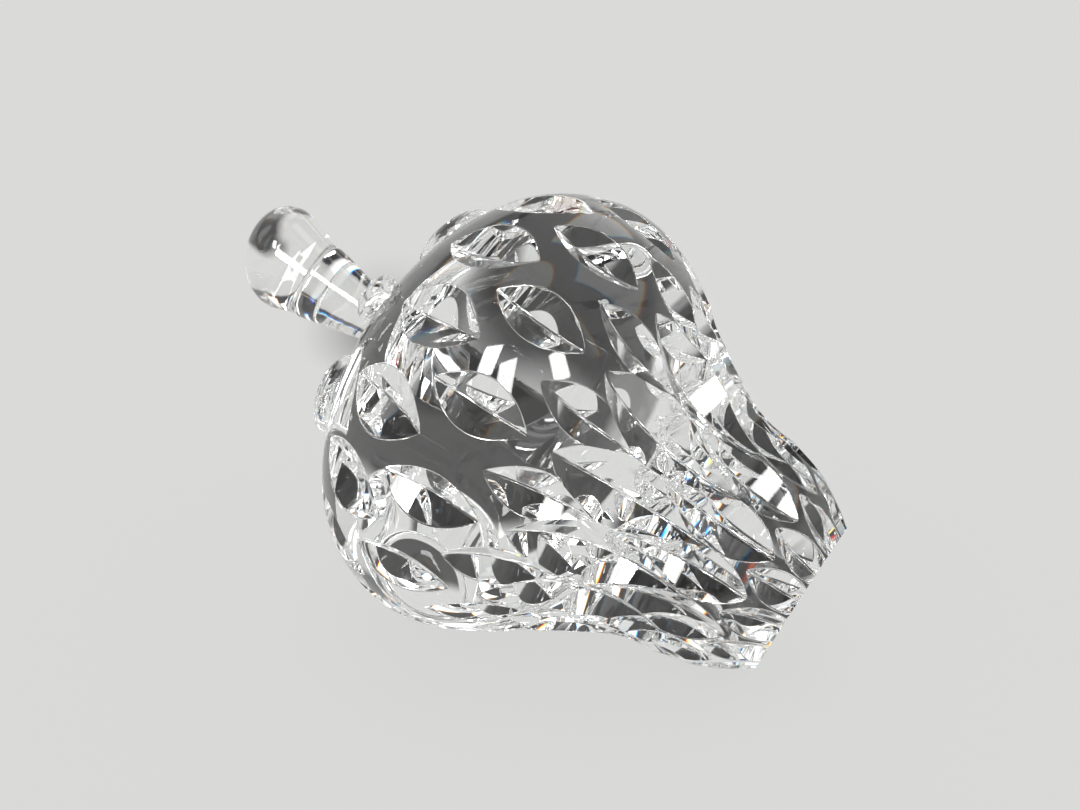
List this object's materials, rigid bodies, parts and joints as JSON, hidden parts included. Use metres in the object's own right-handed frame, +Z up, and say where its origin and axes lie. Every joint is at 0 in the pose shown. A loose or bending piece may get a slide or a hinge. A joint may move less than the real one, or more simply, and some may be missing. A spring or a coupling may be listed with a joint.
{
  "type": "strawberry paperweight",
  "caption": "Solid cut crystal strawberry paperweight lying on its side, with staggered mitre cuts, a flat polished foot, grooved calyx leaves and a flared stem.",
  "frame": {"origin": "on the ground under the middle of the object as it lies on its side", "axes": "+X towards the foot, -X towards the stem, +Z up, with the berry's own axis in the XZ plane"},
  "size_m": [0.1054, 0.0758, 0.072],
  "materials": {
    "berry_crystal": "clear lead crystal, polished, with fine grinding lines left in the mitre cuts",
    "stem_crystal": "clear lead crystal, fire polished, very slightly wavy",
    "leaf_crystal": "clear lead crystal, polished, softly faceted"
  },
  "bodies": {
    "root": {"berry_body": "berry_crystal", "stem": "stem_crystal", "calyx_leaf_1": "leaf_crystal", "calyx_leaf_2": "leaf_crystal", "calyx_leaf_3": "leaf_crystal", "calyx_leaf_4": "leaf_crystal", "calyx_leaf_5": "leaf_crystal"}
  },
  "joints": []
}
